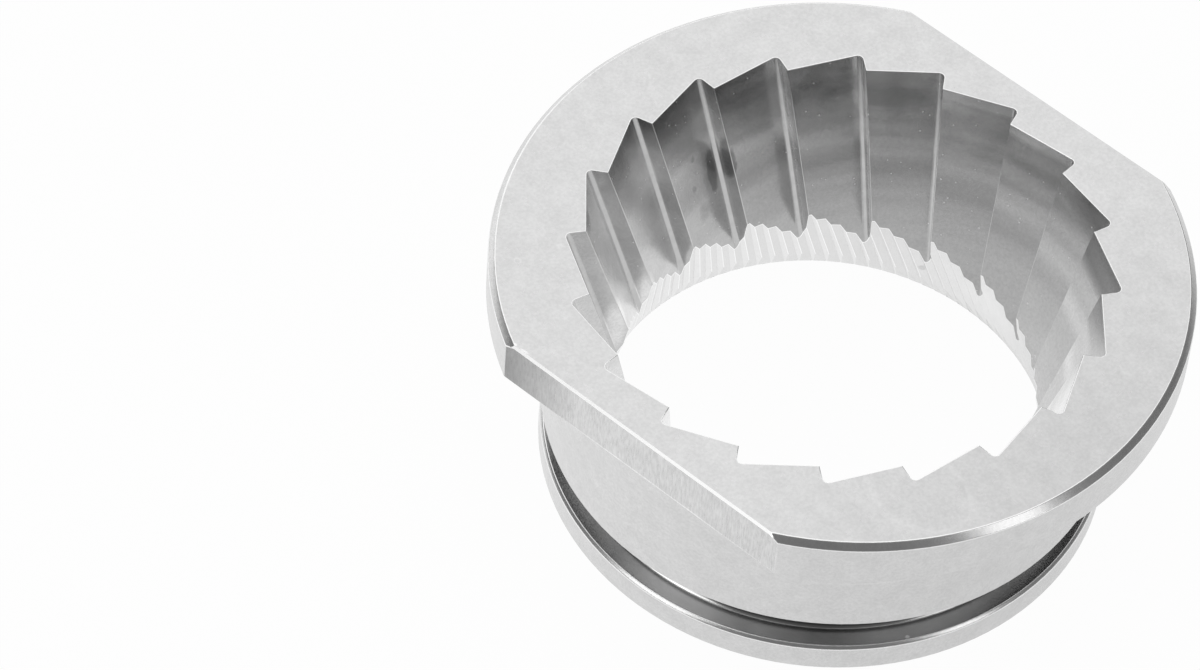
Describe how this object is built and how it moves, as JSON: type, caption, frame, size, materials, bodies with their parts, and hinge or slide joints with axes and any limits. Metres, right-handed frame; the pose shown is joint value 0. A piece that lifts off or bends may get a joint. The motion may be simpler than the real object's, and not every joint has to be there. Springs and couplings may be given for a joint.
{
  "type": "coffee grinder ring burr",
  "caption": "Outer ring burr for a conical coffee grinder: flanged steel ring with flattened sides, coarse saw teeth at the mouth and fine teeth below.",
  "frame": {"origin": "centre of the ring's bottom face, on the ring's axis", "axes": "+Z along the ring's axis towards the flange and the coarse mouth; the two flats of the flange face -Y and +Y"},
  "size_m": [0.06, 0.052, 0.024],
  "materials": {
    "burr_steel": "ground and turned hardened steel, satin"
  },
  "bodies": {
    "root": {"ring_burr": "burr_steel"}
  },
  "joints": []
}
